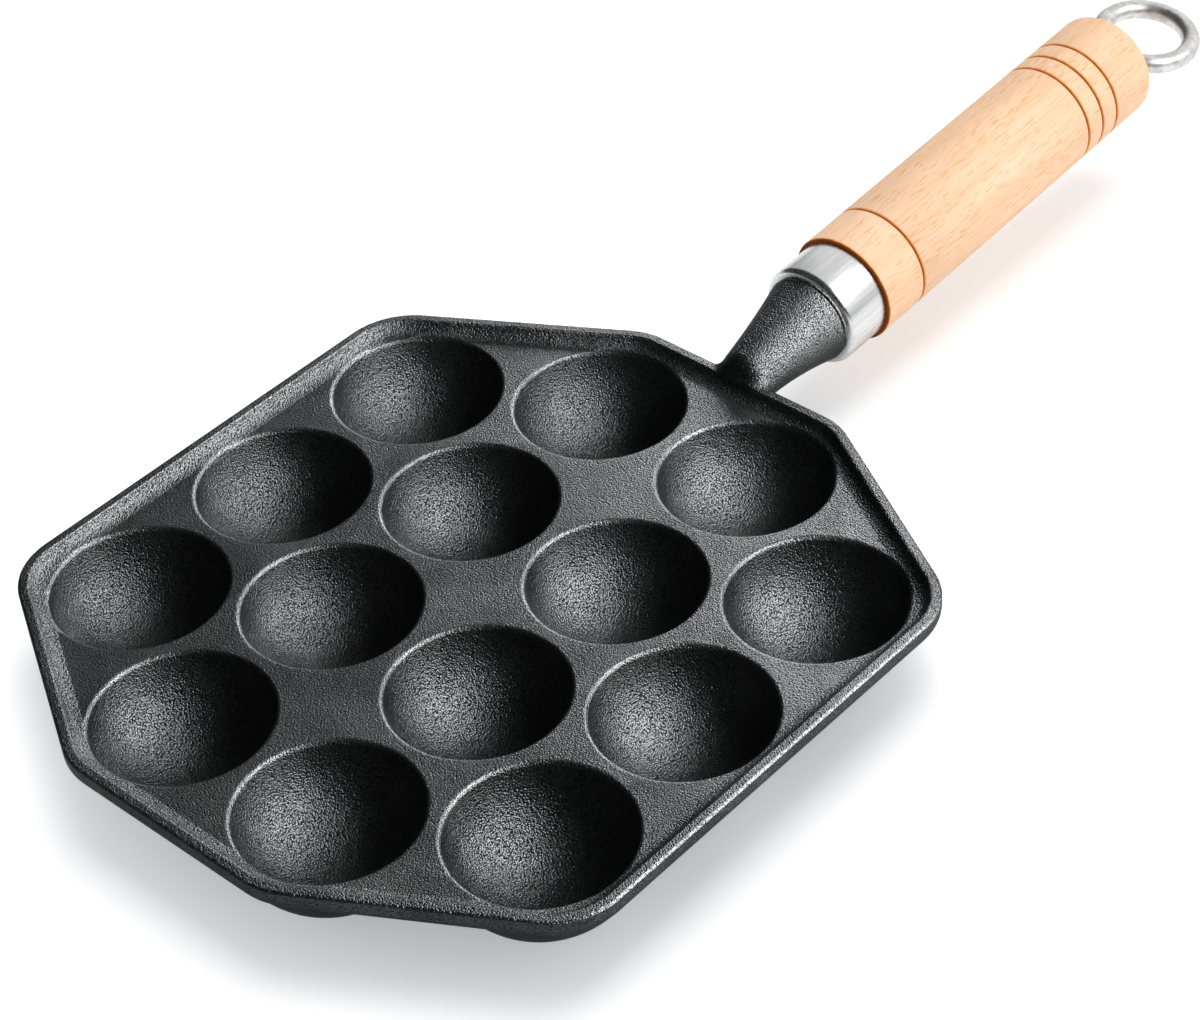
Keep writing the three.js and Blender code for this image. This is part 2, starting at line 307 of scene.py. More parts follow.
def casting_distance_tree():
    """Distance from any point to the casting's surface, negative inside the iron, and where
    its iron is made lighter: on the edges, partly bare from wear and partly a painted highlight."""
    tree = bpy.data.node_groups.new("casting distance", "GeometryNodeTree")
    tree.interface.new_socket("place", in_out="INPUT", socket_type="NodeSocketVector")
    add_sizes(tree, casting_sizes)
    for name in ("distance", "lighter iron"):
        tree.interface.new_socket(name, in_out="OUTPUT", socket_type="NodeSocketFloat")
    given = tree.nodes.new("NodeGroupInput")
    size = {name: Field(tree, given.outputs[name]) for name in casting_sizes}

    shift = vector_math(tree, "SUBTRACT", given.outputs["place"], plate_centre)
    x, y, z = axes_of(tree, shift.outputs[0])
    bowls, domes = cups_and_domes(size, x, y, z)
    outline = plate_outline(size, x, y)
    neck, socket, neck_edge = neck_and_socket(size, x, y, z)

    # Plate and lip. Each weight says how much lighter an edge is made, partly from wear and partly
    # as a painted highlight, and steepness scales a leaning face so that its distance stays true
    lip_inner_wear_and_highlight = 0.3
    lip_outer_wear_and_highlight = 0.4
    cup_rim_wear_and_highlight = 0.35
    land_lightening = 0.25
    lip_run = size["lip slope run"]
    lip_height = size["lip height"]
    foot_inset = size["lip top width"] + lip_run
    slope_length = root(lip_run * lip_run + lip_height * lip_height)
    slope = (z * lip_run - (outline + foot_inset) * lip_height) / slope_length
    inner_rounding = size["lip rounding"] * 0.8
    lip_top_steepness = 0.98
    lip_top = z - lip_height + (outline + size["lip top width"]) * size["lip top lean"]
    lip_top = lip_top * lip_top_steepness
    lip = common(lip_top, slope, inner_rounding)
    lighter_iron = lip_inner_wear_and_highlight * edge_between(lip_top, slope, inner_rounding)
    top = joined(z, lip, size["lip foot fillet"])
    underside = -1.0 * z - size["plate thickness"]
    plate = common(outline, underside, size["lower edge radius"])
    lip_edge = edge_between(plate, top, size["lip rounding"])
    lighter_iron = larger(lighter_iron, lip_outer_wear_and_highlight * lip_edge)
    plate = common(plate, top, size["lip rounding"])

    # All run together, with the cups and the socket taken out
    # The neck's end edge is made lighter too: partly wear, partly a painted highlight
    lighter_iron = larger(lighter_iron, neck_edge)
    iron = larger(joined(plate, domes, size["dome fillet"]), top)
    iron = joined(iron, neck, size["neck root fillet"])
    # Cup rims made lighter: partly wear, partly a painted highlight along the rounding
    rim_wear_and_highlight = cup_rim_wear_and_highlight * edge_between(iron, -1.0 * bowls, size["rim rounding"])
    # The flat land inside the lip is made a little lighter all over
    land_below_top = 0.12
    fillet_share = 0.8
    inside_lip = -1.0 * outline - foot_inset - size["lip foot fillet"] * fillet_share > 0.0
    lighter_land = land_lightening * (z > -land_below_top) * inside_lip
    lighter_iron = larger(larger(lighter_iron, rim_wear_and_highlight), lighter_land)
    iron = common(iron, -1.0 * bowls, size["rim rounding"])
    iron = larger(iron, -1.0 * socket)

    # Flats on the domes, where the pan stands
    iron = larger(iron, -1.0 * z - plate_centre[2])
    result = tree.nodes.new("NodeGroupOutput")
    tree.links.new(iron.socket, result.inputs["distance"])
    tree.links.new(lighter_iron.socket, result.inputs["lighter iron"])
    return tree


casting_distance = casting_distance_tree()


def place_value(tree, given, place, value="distance"):
    """The casting's distance, or how much lighter its iron is made, at a place."""
    node = tree.nodes.new("GeometryNodeGroup")
    node.node_tree = casting_distance
    tree.links.new(place, node.inputs["place"])
    for name in casting_sizes:
        tree.links.new(given.outputs[name], node.inputs[name])
    return Field(tree, node.outputs[value])


def surface_direction(tree, given):
    """The distance at each point, and how fast it grows along x, y and z."""
    step = 0.04
    position = tree.nodes.new("GeometryNodeInputPosition")
    here = place_value(tree, given, position.outputs[0])
    growth = tree.nodes.new("ShaderNodeCombineXYZ")
    for axis, way in enumerate(((step, 0.0, 0.0), (0.0, step, 0.0), (0.0, 0.0, step))):
        nudge = vector_math(tree, "ADD", position.outputs[0], way)
        change = (place_value(tree, given, nudge.outputs[0]) - here) / step
        tree.links.new(change.socket, growth.inputs[axis])
    return here, growth.outputs[0]


def settled(tree, given, geometry, times):
    """Moves every point on to the true surface, along the way the distance grows."""
    least_steepness = 0.2
    for _ in range(times):
        here, growth = surface_direction(tree, given)
        steepness = Field(tree, vector_math(tree, "DOT_PRODUCT", growth, growth).outputs["Value"])
        amount = -1.0 * here / larger(steepness, least_steepness)
        move = tree.nodes.new("ShaderNodeVectorMath")
        move.operation = "SCALE"
        tree.links.new(growth, move.inputs[0])
        tree.links.new(amount.socket, move.inputs["Scale"])
        settle = tree.nodes.new("GeometryNodeSetPosition")
        tree.links.new(geometry, settle.inputs["Geometry"])
        tree.links.new(move.outputs[0], settle.inputs["Offset"])
        geometry = settle.outputs[0]
    return geometry


def casting_net_tree():
    """Fills the space around the pan with distances and draws a net where they are zero."""
    tree = bpy.data.node_groups.new("casting net", "GeometryNodeTree")
    add_sizes(tree, casting_sizes)
    tree.interface.new_socket("width of the mesh", in_out="INPUT", socket_type="NodeSocketFloat")
    tree.interface.new_socket("Geometry", in_out="OUTPUT", socket_type="NodeSocketGeometry")
    given = tree.nodes.new("NodeGroupInput")
    position = tree.nodes.new("GeometryNodeInputPosition")

    # The box of space that holds the casting, in millimetres
    low = (-87.0, -181.5, -1.5)
    high = (87.0, 30.0, 37.5)
    space = tree.nodes.new("GeometryNodeVolumeCube")
    space.inputs["Min"].default_value = low
    space.inputs["Max"].default_value = high
    width = Field(tree, given.outputs["width of the mesh"])
    for axis, name in enumerate(("Resolution X", "Resolution Y", "Resolution Z")):
        tree.links.new(((high[axis] - low[axis]) / width).socket, space.inputs[name])
    density_at_skin = 1.0
    filled = density_at_skin - place_value(tree, given, position.outputs[0])
    tree.links.new(filled.socket, space.inputs["Density"])
    skin = tree.nodes.new("GeometryNodeVolumeToMesh")
    skin.inputs["Threshold"].default_value = density_at_skin
    tree.links.new(space.outputs[0], skin.inputs["Volume"])
    result = tree.nodes.new("NodeGroupOutput")
    tree.links.new(settled(tree, given, skin.outputs[0], times=2), result.inputs[0])
    return tree


def finish_in_metres(tree, geometry, material):
    """Ends a node tree: brings its millimetres to metres and puts a material on the mesh."""
    metres = tree.nodes.new("GeometryNodeTransform")
    metres.inputs["Scale"].default_value = (0.001, 0.001, 0.001)
    tree.links.new(geometry, metres.inputs["Geometry"])
    real = tree.nodes.new("GeometryNodeRealizeInstances")
    tree.links.new(metres.outputs[0], real.inputs[0])
    finish = tree.nodes.new("GeometryNodeSetMaterial")
    tree.links.new(real.outputs[0], finish.inputs["Geometry"])
    tree.links.new(material, finish.inputs["Material"])
    result = tree.nodes.new("NodeGroupOutput")
    tree.links.new(finish.outputs[0], result.inputs[0])


def casting_finish_tree():
    """Settles the thinned net, and notes which way it faces and where its iron is made lighter."""
    tree = bpy.data.node_groups.new("casting finish", "GeometryNodeTree")
    for in_out in ("INPUT", "OUTPUT"):
        tree.interface.new_socket("Geometry", in_out=in_out, socket_type="NodeSocketGeometry")
    tree.interface.new_socket("iron", in_out="INPUT", socket_type="NodeSocketMaterial")
    add_sizes(tree, casting_sizes)
    given = tree.nodes.new("NodeGroupInput")
    position = tree.nodes.new("GeometryNodeInputPosition")
    surface = settled(tree, given, given.outputs["Geometry"], times=2)
    _, growth = surface_direction(tree, given)
    lighter_iron = place_value(tree, given, position.outputs[0], "lighter iron")
    for name, data_type, value in (
        ("facing", "FLOAT_VECTOR", growth), ("lighter_iron", "FLOAT", lighter_iron.socket),
    ):
        note = tree.nodes.new("GeometryNodeStoreNamedAttribute")
        note.data_type = data_type
        note.inputs["Name"].default_value = name
        tree.links.new(surface, note.inputs["Geometry"])
        tree.links.new(value, note.inputs["Value"])
        surface = note.outputs[0]
    finish_in_metres(tree, surface, given.outputs["iron"])
    return tree


def start_piece(name):
    """A new piece with an empty mesh."""
    piece = bpy.data.objects.new(name, bpy.data.meshes.new(name))
    bpy.context.scene.collection.objects.link(piece)
    return piece


def shape_by_tree(piece, tree, sizes):
    """Puts a node tree on a piece, with its sizes set by name."""
    modifier = piece.modifiers.new(tree.name, "NODES")
    modifier.node_group = tree
    for item in tree.interface.items_tree:
        if item.in_out == "INPUT" and item.name in sizes:
            modifier[item.identifier] = sizes[item.name]


def keep_as_mesh(piece):
    """Keeps what the modifiers make as a plain mesh, and takes them off."""
    evaluated = piece.evaluated_get(bpy.context.evaluated_depsgraph_get())
    made = bpy.data.meshes.new_from_object(evaluated)
    piece.modifiers.clear()
    piece.data = made


def start_material(name):
    """A new material, its node tree and its shader."""
    material = bpy.data.materials.new(name)
    material.use_nodes = True
    return material, material.node_tree, material.node_tree.nodes["Principled BSDF"]


def noise(tree, vector, scale, detail=2.0, roughness=0.5):
    """Cloudy noise from nought to one, with about as many spots to a metre as scale says."""
    node = tree.nodes.new("ShaderNodeTexNoise")
    node.inputs["Scale"].default_value = scale
    node.inputs["Detail"].default_value = detail
    node.inputs["Roughness"].default_value = roughness
    tree.links.new(vector, node.inputs["Vector"])
    return Field(tree, node.outputs["Fac"])


def between(value, low, high):
    """Nought below low, one above high, and smooth in between."""
    node = value.tree.nodes.new("ShaderNodeMapRange")
    node.interpolation_type = "SMOOTHSTEP"
    node.inputs["From Min"].default_value = low
    node.inputs["From Max"].default_value = high
    value.tree.links.new(value.socket, node.inputs["Value"])
    return Field(value.tree, node.outputs["Result"])


def mixed_colour(share, first, second):
    """A colour between two, each of which is a fixed colour or the socket of one."""
    node = share.tree.nodes.new("ShaderNodeMix")
    node.data_type = "RGBA"
    node.clamp_factor = True
    share.tree.links.new(share.socket, node.inputs["Factor"])
    first_colour, second_colour, mixed = node.inputs[6], node.inputs[7], node.outputs[2]
    for socket, colour in ((first_colour, first), (second_colour, second)):
        if isinstance(colour, tuple):
            socket.default_value = (*colour, 1.0)
        else:
            share.tree.links.new(colour, socket)
    return mixed


def set_relief(shader, height, depth):
    """Bumps on the surface, as deep as depth in metres where height goes from nought to one."""
    node = height.tree.nodes.new("ShaderNodeBump")
    node.inputs["Distance"].default_value = depth
    height.tree.links.new(height.socket, node.inputs["Height"])
    height.tree.links.new(node.outputs["Normal"], shader.inputs["Normal"])


# Iron: sand grain in relief, seasoned black, grey on the grains, and pale on the edges: partly bare
# from wear, partly a painted highlight
cast_iron, iron_nodes, iron_shader = start_material("cast iron")
iron_shader.inputs["Metallic"].default_value = 1.0
iron_shader.inputs["Specular Tint"].default_value = (0.50, 0.51, 0.54, 1.0)
iron_place = iron_nodes.nodes.new("ShaderNodeTexCoord").outputs["Object"]
iron_skin = noise(iron_nodes, iron_place, scale=900.0)
fine_sand = noise(iron_nodes, iron_place, scale=2600.0, detail=1.0)
oil_patches = noise(iron_nodes, iron_place, scale=70.0, detail=3.0)
sand = iron_nodes.nodes.new("ShaderNodeTexVoronoi")
sand.inputs["Scale"].default_value = 2400.0
iron_nodes.links.new(iron_place, sand.inputs["Vector"])
off_grain = Field(iron_nodes, sand.outputs["Distance"])
sand_grain = 1.0 - off_grain * off_grain
edge_reader = iron_nodes.nodes.new("ShaderNodeAttribute")
edge_reader.attribute_name = "lighter_iron"
lighter_iron = Field(iron_nodes, edge_reader.outputs["Fac"])
sand_worn_off = 0.45
sand_left = 1.0 - sand_worn_off * between(lighter_iron, 0.1, 0.3)
rough_cast = (sand_grain + 0.2 * iron_skin + 0.25 * fine_sand) * sand_left
set_relief(iron_shader, rough_cast, depth=0.00019)
seasoned_black = (0.031, 0.0315, 0.0315)
grey_of_grains = (0.079, 0.0795, 0.079)
# Pale tone for the lighter edges: bare iron, lightened further as a painted highlight
bare_and_highlight_tone = (0.36, 0.355, 0.345)
grey_share = between(sand_grain * 0.5 + fine_sand * 0.3 + oil_patches * 0.4, 0.55, 0.90)
bare_and_highlight_share = 0.8 * between(lighter_iron * (iron_skin + 0.5), 0.25, 0.95)
iron_tone = mixed_colour(grey_share, seasoned_black, grey_of_grains)
iron_tone = mixed_colour(bare_and_highlight_share, iron_tone, bare_and_highlight_tone)
iron_nodes.links.new(iron_tone, iron_shader.inputs["Base Color"])
iron_nodes.links.new((0.30 + 0.12 * oil_patches).socket, iron_shader.inputs["Roughness"])

casting = start_piece("cast_pan")
shape_by_tree(casting, casting_net_tree(), {**casting_sizes, "width of the mesh": 0.58})
thinning = casting.modifiers.new("fewer faces", "DECIMATE")
thinning.ratio = 0.262
shape_by_tree(casting, casting_finish_tree(), {**casting_sizes, "iron": cast_iron})
keep_as_mesh(casting)
casting.data.shade_smooth()
casting_facing = [item.vector.normalized() for item in casting.data.attributes["facing"].data]
casting.data.normals_split_custom_set_from_vertices(casting_facing)
casting.data.attributes.remove(casting.data.attributes["facing"])
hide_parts("pan_casting")
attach(casting, "pan")


# Ferrule. A cup drawn from thin stainless sheet and polished in the lathe, pressed on the spigot
# at the front of the grip. Its rolled front edge faces the neck.

plate_half_length = (1.5 * casting_sizes["cup pitch"] + casting_sizes["cup rim radius"]
                     + casting_sizes["rim land"])
handle_origin = Vector((
    0.0, plate_centre[1] + plate_half_length, plate_centre[2] + handle_height,
)) / 1000.0
handle_frame = Matrix.Translation(handle_origin) @ Matrix.Rotation(handle_angle, 4, "X")


def rounded_corner(before, corner, after, radius, steps):
    """Points of an arc that rounds one corner of a profile."""
    corner = Vector(corner)
    back = (Vector(before) - corner).normalized()
    ahead = (Vector(after) - corner).normalized()
    half = math.acos(max(-1.0, min(1.0, back.dot(ahead)))) / 2.0
    centre = corner + (back + ahead).normalized() * (radius / math.sin(half))
    start = corner + back * (radius / math.tan(half)) - centre
    end = corner + ahead * (radius / math.tan(half)) - centre
    turn = math.atan2(start.x * end.y - start.y * end.x, start.dot(end))
    points = []
    for step in range(steps + 1):
        angle = turn * step / steps
        points.append(centre + Vector((
            start.x * math.cos(angle) - start.y * math.sin(angle),
            start.x * math.sin(angle) + start.y * math.cos(angle),
        )))
    return points


def rounded_profile(corners):
    """The points of a closed profile, from corners of (radius, station, rounding) in millimetres.
    A station is a place along the handle's axis."""
    arc_steps = 6
    points = []
    for index, (radius, station, rounding) in enumerate(corners):
        if rounding == 0.0:
            points.append(Vector((radius, station)))
            continue
        before = corners[index - 1][:2]
        after = corners[(index + 1) % len(corners)][:2]
        points += rounded_corner(before, (radius, station), after, rounding, arc_steps)
    return points


def turned_piece(name, profile, sides, material):
    """A lathe-turned mesh about the handle's axis, from a closed profile in millimetres."""
    net = bmesh.new()
    rows = []
    for radius, station in profile:
        row = []
        for side in range(sides):
            angle = 2.0 * math.pi * side / sides
            row.append(net.verts.new((radius * math.cos(angle), station, radius * math.sin(angle))))
        rows.append(row)
    for row, next_row in zip(rows, rows[1:] + rows[:1]):
        for side in range(sides):
            net.faces.new((row[side], row[side - 1], next_row[side - 1], next_row[side]))
    bmesh.ops.recalc_face_normals(net, faces=net.faces)
    bmesh.ops.scale(net, vec=(0.001, 0.001, 0.001), verts=net.verts)
    bmesh.ops.transform(net, matrix=handle_frame, verts=net.verts)
    piece = start_piece(name)
    net.to_mesh(piece.data)
    net.free()
    piece.data.shade_smooth()
    piece.data.set_sharp_from_angle(angle=math.radians(40.0))
    piece.data.materials.append(material)
    return piece


def handle_coordinates(tree):
    """Across, along and up from the handle's axis, in metres, for a material on the handle."""
    place = tree.nodes.new("ShaderNodeTexCoord")
    turn = tree.nodes.new("ShaderNodeMapping")
    turn.vector_type = "TEXTURE"
    turn.inputs["Location"].default_value = handle_origin
    turn.inputs["Rotation"].default_value = (handle_angle, 0.0, 0.0)
    tree.links.new(place.outputs["Object"], turn.inputs["Vector"])
    return turn.outputs["Vector"]


def stretched(tree, vector, along):
    """The same coordinates with the handle's direction scaled, so that patterns run with it."""
    return vector_math(tree, "MULTIPLY", vector, (1.0, along, 1.0)).outputs["Vector"]


# Polished steel: streaks along it from the drawing, and fine marks round it from the lathe
polished_steel, ferrule_nodes, ferrule_shader = start_material("polished steel")
ferrule_shader.inputs["Metallic"].default_value = 1.0
ferrule_place = handle_coordinates(ferrule_nodes)
along_handle = stretched(ferrule_nodes, ferrule_place, 0.06)
round_handle = stretched(ferrule_nodes, ferrule_place, 30.0)
drawing_streaks = noise(ferrule_nodes, along_handle, scale=900.0, detail=3.0)
turning_marks = noise(ferrule_nodes, round_handle, scale=220.0)
grey_steel = (0.71, 0.71, 0.705)
white_steel = (0.84, 0.84, 0.83)
ferrule_nodes.links.new(
    mixed_colour(between(drawing_streaks, 0.3, 0.7), grey_steel, white_steel),
    ferrule_shader.inputs["Base Color"],
)
ferrule_nodes.links.new((0.20 + 0.14 * drawing_streaks).socket, ferrule_shader.inputs["Roughness"])
set_relief(ferrule_shader, turning_marks, depth=0.000004)

clearance = 0.3
ferrule_length = 12.6
ferrule_front = casting_sizes["neck length"] + clearance
ferrule_back = ferrule_front + ferrule_length
ferrule_radius = 13.1
ferrule_wall = 0.8
ferrule_mouth = 8.0
ferrule_front_rounding = 1.6
ferrule_back_rounding = 0.15
ferrule = turned_piece("steel_ferrule", rounded_profile([
    (ferrule_mouth, ferrule_front, 0.0),
    (ferrule_radius, ferrule_front, ferrule_front_rounding),
    (ferrule_radius, ferrule_back, ferrule_back_rounding),
    (ferrule_radius - ferrule_wall, ferrule_back, 0.0),
    (ferrule_radius - ferrule_wall, ferrule_front + ferrule_wall,
     ferrule_front_rounding - ferrule_wall),
    (ferrule_mouth, ferrule_front + ferrule_wall, 0.0),
]), sides=192, material=polished_steel)
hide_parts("ferrule")
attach(ferrule, "handle")


# Wooden grip. A turned beech cylinder with a spigot for the ferrule and a hole for the tie rod.
# Four fine grooves were cut and scorched with a wire while it turned.

grip_radius = 14.14
grip_length = 109.9
grip_shoulder = ferrule_back + clearance
grip_end = grip_shoulder + grip_length
shoulder_rounding = 0.4
end_rounding = 2.8
bore_radius = 3.5
spigot_radius = ferrule_radius - ferrule_wall - clearance
spigot_front = ferrule_front + ferrule_wall + clearance
spigot_bevel = 0.6
groove_width = 1.0
groove_depth = 0.4
groove_pitch = 6.0
front_groove = grip_shoulder + 13.7
last_groove = grip_end - 16.2
groove_stations = [front_groove] + [last_groove - groove_pitch * count for count in (2, 1, 0)]
grip_corners = [
    (bore_radius, spigot_front, 0.0),
    (spigot_radius - spigot_bevel, spigot_front, 0.0),
    (spigot_radius, spigot_front + spigot_bevel, 0.0),
    (spigot_radius, grip_shoulder, 0.0),
    (grip_radius, grip_shoulder, shoulder_rounding),
]
for station in groove_stations:
    grip_corners += [
        (grip_radius, station - groove_width / 2, 0.0),
        (grip_radius - groove_depth, station, 0.0),
        (grip_radius, station + groove_width / 2, 0.0),
    ]
grip_corners += [
    (grip_radius, grip_end, end_rounding),
    (bore_radius, grip_end, 0.0),
]

# Beech: soft bands and fine grain along the handle, pale figure, long lines and short flecks
beech, beech_nodes, beech_shader = start_material("beech")
beech_shader.inputs["Specular IOR Level"].default_value = 0.2
beech_place = handle_coordinates(beech_nodes)


def grain(along, scale, detail, roughness=0.5):
    """Noise that runs with the wood: the smaller along is, the longer its streaks are."""
    return noise(beech_nodes, stretched(beech_nodes, beech_place, along), scale, detail, roughness)


growth_bands = grain(along=0.035, scale=230.0, detail=3.0, roughness=0.6)
fine_grain = grain(along=0.03, scale=1500.0, detail=2.0)
pale_figure = grain(along=0.35, scale=130.0, detail=2.0)
fleck_pattern = grain(along=0.085, scale=3000.0, detail=0.0)
long_lines = grain(along=0.012, scale=1900.0, detail=1.0)
fleck_groups = grain(along=0.3, scale=160.0, detail=1.0)
late_wood_share = between(growth_bands * 0.65 + fine_grain * 0.35, 0.36, 0.66)
pale_share = 0.5 * between(pale_figure, 0.5, 0.75)
line_share = 0.22 * between(long_lines, 0.58, 0.74)
flecks = between(fleck_pattern + 0.3 * fleck_groups, 0.79, 0.87)
fleck_share = 0.52 * flecks
early_wood = (0.815, 0.55, 0.37)
late_wood = (0.765, 0.485, 0.30)
pale_wood = (0.85, 0.615, 0.435)
line_in_wood = (0.70, 0.36, 0.14)
fleck_in_wood = (0.63, 0.29, 0.10)
beech_tone = mixed_colour(late_wood_share, early_wood, late_wood)
beech_tone = mixed_colour(pale_share, beech_tone, pale_wood)
beech_tone = mixed_colour(line_share, beech_tone, line_in_wood)
beech_tone = mixed_colour(fleck_share, beech_tone, fleck_in_wood)

# Scorched wood: a dark core in each groove with an orange halo, and the cut front face
station_here = 1000.0 * axes_of(beech_nodes, beech_place)[1]
ragged = 0.22 * noise(beech_nodes, beech_place, scale=700.0)
scorched_stations = groove_stations + [grip_shoulder - 0.1]
off_groove = None
for station in scorched_stations:
    away = station_here - station
    away = away.made_by("ABSOLUTE", away)
    off_groove = away if off_groove is None else smaller(off_groove, away)
off_groove = off_groove + ragged
halo = 1.0 - between(off_groove, 0.40, 0.84)
char = 1.0 - between(off_groove, 0.18, 0.52)
singed_wood = (0.66, 0.22, 0.03)
charred_wood = (0.25, 0.050, 0.006)
beech_tone = mixed_colour(halo, beech_tone, singed_wood)
beech_tone = mixed_colour(char, beech_tone, charred_wood)
beech_nodes.links.new(beech_tone, beech_shader.inputs["Base Color"])
beech_nodes.links.new((0.55 + 0.16 * fine_grain).socket, beech_shader.inputs["Roughness"])
set_relief(beech_shader, fine_grain - 0.5 * flecks, depth=0.000015)

grip = turned_piece("beech_grip", rounded_profile(grip_corners), sides=160, material=beech)
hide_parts("wooden_grip")
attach(grip, "handle")


# Tie rod. A bright steel rod that runs through the grip and holds it on the pan. Its front end is
# threaded and screws into the neck, and the hanging ring is welded on its back end.

# Bright steel: drawn wire, dull in blotches, with fine scratches
bright_steel, wire_nodes, wire_shader = start_material("bright steel")
wire_shader.inputs["Metallic"].default_value = 1.0
wire_place = wire_nodes.nodes.new("ShaderNodeTexCoord").outputs["Object"]
wire_blotches = noise(wire_nodes, wire_place, scale=420.0, detail=4.0, roughness=0.65)
wire_scratches = noise(wire_nodes, wire_place, scale=2400.0)
dull_wire = (0.64, 0.62, 0.59)
bright_wire = (0.86, 0.855, 0.84)
wire_nodes.links.new(
    mixed_colour(between(wire_blotches, 0.35, 0.65), dull_wire, bright_wire),
    wire_shader.inputs["Base Color"],
)
wire_nodes.links.new((0.30 + 0.24 * wire_blotches).socket, wire_shader.inputs["Roughness"])
set_relief(wire_shader, wire_scratches + 2.0 * wire_blotches, depth=0.000012)

# Sizes of the tie rod in millimetres: each is an input of its node tree
rod_past_grip = 1.3
rod_sizes = {
    "rod radius": 3.0,
    "front": 11.1,
    "back": grip_end + rod_past_grip,
    "thread end": 32.0,
    "pitch": 1.0,
    "thread depth": 0.55,
}


def tie_rod_tree():
    """A round rod with a right-hand thread on its front stretch, along the second axis."""
    tree = bpy.data.node_groups.new("tie rod", "GeometryNodeTree")
    add_sizes(tree, rod_sizes)
    tree.interface.new_socket("steel", in_out="INPUT", socket_type="NodeSocketMaterial")
    tree.interface.new_socket("Geometry", in_out="OUTPUT", socket_type="NodeSocketGeometry")
    given = tree.nodes.new("NodeGroupInput")
    size = {name: Field(tree, given.outputs[name]) for name in rod_sizes}
    rows = 210
    points_round = 41
    thread_share = 0.95
    flat_share = 0.1
    lead_in_length = 0.9
    lead_in_slope = 0.7
    seam_gap = 0.002
    net = tree.nodes.new("GeometryNodeMeshGrid")
    net.inputs["Size X"].default_value = 1.0
    net.inputs["Size Y"].default_value = 1.0
    net.inputs["Vertices X"].default_value = points_round
    net.inputs["Vertices Y"].default_value = rows + 1
    position = tree.nodes.new("GeometryNodeInputPosition")
    net_x, net_y, _ = axes_of(tree, position.outputs[0])
    round_share = net_x + 0.5
    row_share = net_y + 0.5

    threaded = size["front"] + (size["thread end"] - size["front"]) * (row_share / thread_share)
    plain_share = (row_share - thread_share) / (1.0 - thread_share)
    plain = size["thread end"] + (size["back"] - size["thread end"]) * plain_share
    is_plain = row_share > thread_share
    station = chosen(is_plain, plain, threaded)
    phase = station / size["pitch"] - round_share
    phase = phase.made_by("FRACT", phase)
    flank = 2.0 * phase - 1.0
    flank_slope = 1.0 / (1.0 - 2.0 * flat_share)
    flank = flank.made_by("ABSOLUTE", flank) * flank_slope - flat_share * flank_slope
    cut = size["thread depth"] * smaller(larger(flank, 0.0), 1.0) * (1.0 - is_plain)
    lead_in = larger(size["front"] + lead_in_length - station, 0.0) * lead_in_slope
    radius = size["rod radius"] - larger(cut, lead_in)
    end_row = 0.5 / rows
    on_side = (row_share > end_row) * (1.0 - (row_share > 1.0 - end_row))
    radius = radius * on_side
    angle = 2.0 * math.pi * round_share
    place = tree.nodes.new("ShaderNodeCombineXYZ")
    tree.links.new((radius * angle.made_by("SINE", angle)).socket, place.inputs["X"])
    tree.links.new(station.socket, place.inputs["Y"])
    tree.links.new((radius * angle.made_by("COSINE", angle)).socket, place.inputs["Z"])
    wrap = tree.nodes.new("GeometryNodeSetPosition")
    tree.links.new(net.outputs["Mesh"], wrap.inputs["Geometry"])
    tree.links.new(place.outputs[0], wrap.inputs["Position"])
    seam = tree.nodes.new("GeometryNodeMergeByDistance")
    seam.inputs["Distance"].default_value = seam_gap
    tree.links.new(wrap.outputs[0], seam.inputs["Geometry"])
    finish_in_metres(tree, seam.outputs[0], given.outputs["steel"])
    return tree


tie_rod = start_piece("steel_tie_rod")
shape_by_tree(tie_rod, tie_rod_tree(), {**rod_sizes, "steel": bright_steel})
keep_as_mesh(tie_rod)
tie_rod.data.transform(handle_frame)
rod_net = bmesh.new()
rod_net.from_mesh(tie_rod.data)
bmesh.ops.recalc_face_normals(rod_net, faces=rod_net.faces)
rod_net.to_mesh(tie_rod.data)
rod_net.free()
tie_rod.data.shade_smooth()
tie_rod.data.set_sharp_from_angle(angle=math.radians(35.0))
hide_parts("tie_rod")
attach(tie_rod, "eye_bolt")


# Washer. A flat steel ring, punched from sheet, between the end of the grip and the hanging ring.
# It spreads the pull of the rod over the end of the wood.

washer_hole = 3.3
washer_radius = 6.0
washer_front = grip_end + clearance
washer_back = rod_sizes["back"]
washer_rounding = 0.2
washer = turned_piece("steel_washer", rounded_profile([
    (washer_hole, washer_front, 0.0),
    (washer_radius, washer_front, washer_rounding),
    (washer_radius, washer_back, washer_rounding),
    (washer_hole, washer_back, 0.0),
]), sides=64, material=bright_steel)
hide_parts("end_washer")
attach(washer, "eye_bolt")


# Hanging ring. Bright steel wire bent to a circle and welded shut, then welded on the end of the
# tie rod. It leans a few degrees, as the weld left it, and the pan hangs by it.

